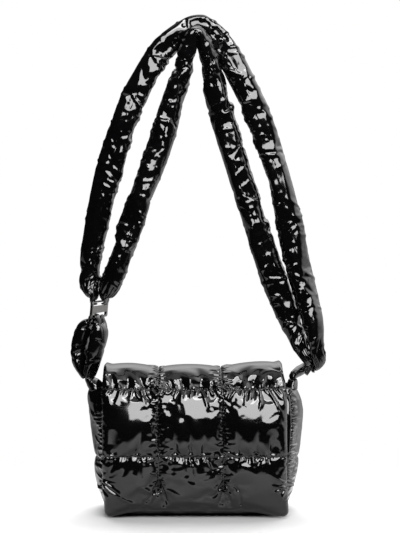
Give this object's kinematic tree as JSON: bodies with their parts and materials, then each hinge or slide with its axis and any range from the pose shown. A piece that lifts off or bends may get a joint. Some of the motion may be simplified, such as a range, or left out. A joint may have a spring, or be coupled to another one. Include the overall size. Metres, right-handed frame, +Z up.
{
  "type": "quilted messenger bag",
  "caption": "Small glossy puffer messenger bag: quilted flap over a padded hollow body with bulging gussets, hung from a doubled stuffed strap that threads flat slotted rings on padded loops.",
  "frame": {"origin": "underside of the inner strand at the top of the strap, where the bag hangs", "axes": "+Z up along the strap, -Y towards the front of the flap, +X towards the right side seen from the front"},
  "size_m": [0.3285, 0.1181, 0.6306],
  "materials": {
    "nylon": "wet-look coated black nylon, padded and quilted",
    "gunmetal": "dark satin plating"
  },
  "bodies": {
    "root": {"front_panel": "nylon", "back_panel": "nylon", "base_panel": "nylon", "gusset_left": "nylon", "gusset_right": "nylon", "flap": "nylon", "tab_left": "nylon", "tab_right": "nylon", "loop_left": "nylon", "loop_right": "nylon", "ring_left": "gunmetal", "ring_right": "gunmetal", "strap_inner": "nylon", "strap_outer": "nylon"}
  },
  "joints": []
}
